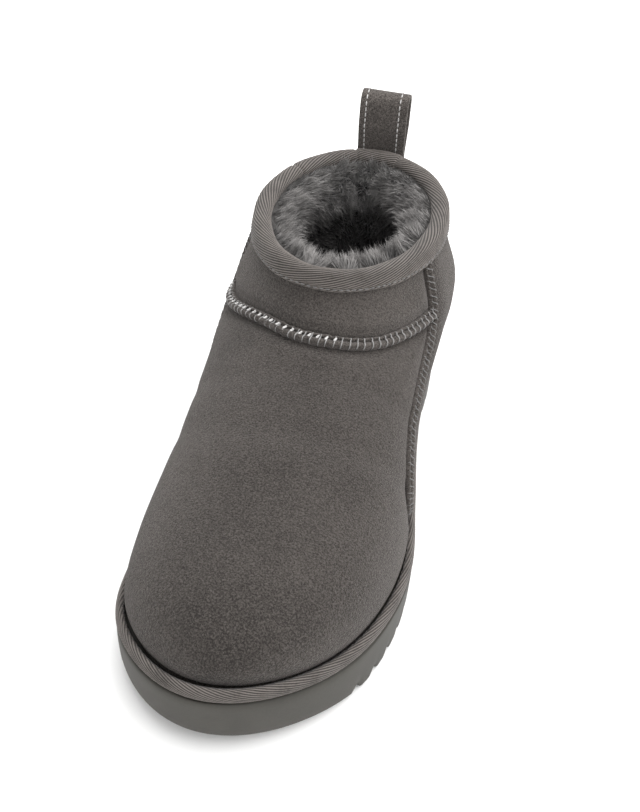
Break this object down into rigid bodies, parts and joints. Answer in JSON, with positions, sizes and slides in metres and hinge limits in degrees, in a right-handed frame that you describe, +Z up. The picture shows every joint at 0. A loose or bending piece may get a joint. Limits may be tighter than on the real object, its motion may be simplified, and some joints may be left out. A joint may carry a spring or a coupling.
{
  "type": "sheepskin boot",
  "caption": "Low sheepskin boot for the left foot, with a round toe, a deep fleece lining, a taped collar, a pull loop at the heel and a light moulded sole.",
  "frame": {"origin": "on the floor, in the middle of the bounding box's length and width, which is the outsole's own middle", "axes": "+Z up, -Y towards the toe, +Y towards the heel, +X towards the outer side of the left foot"},
  "size_m": [0.1062, 0.268, 0.143],
  "materials": {
    "suede": "napped suede, warm dark grey",
    "fleece": "deep sheared fleece, grey",
    "tape": "woven twill tape, grey",
    "foam": "moulded light foam rubber, matt, dark olive grey",
    "thread": "light grey sewing thread"
  },
  "bodies": {
    "root": {"upper": "suede", "outsole": "foam", "insole": "fleece", "sole_tape": "tape", "collar_tape": "tape", "pull_loop": "suede"}
  },
  "joints": []
}
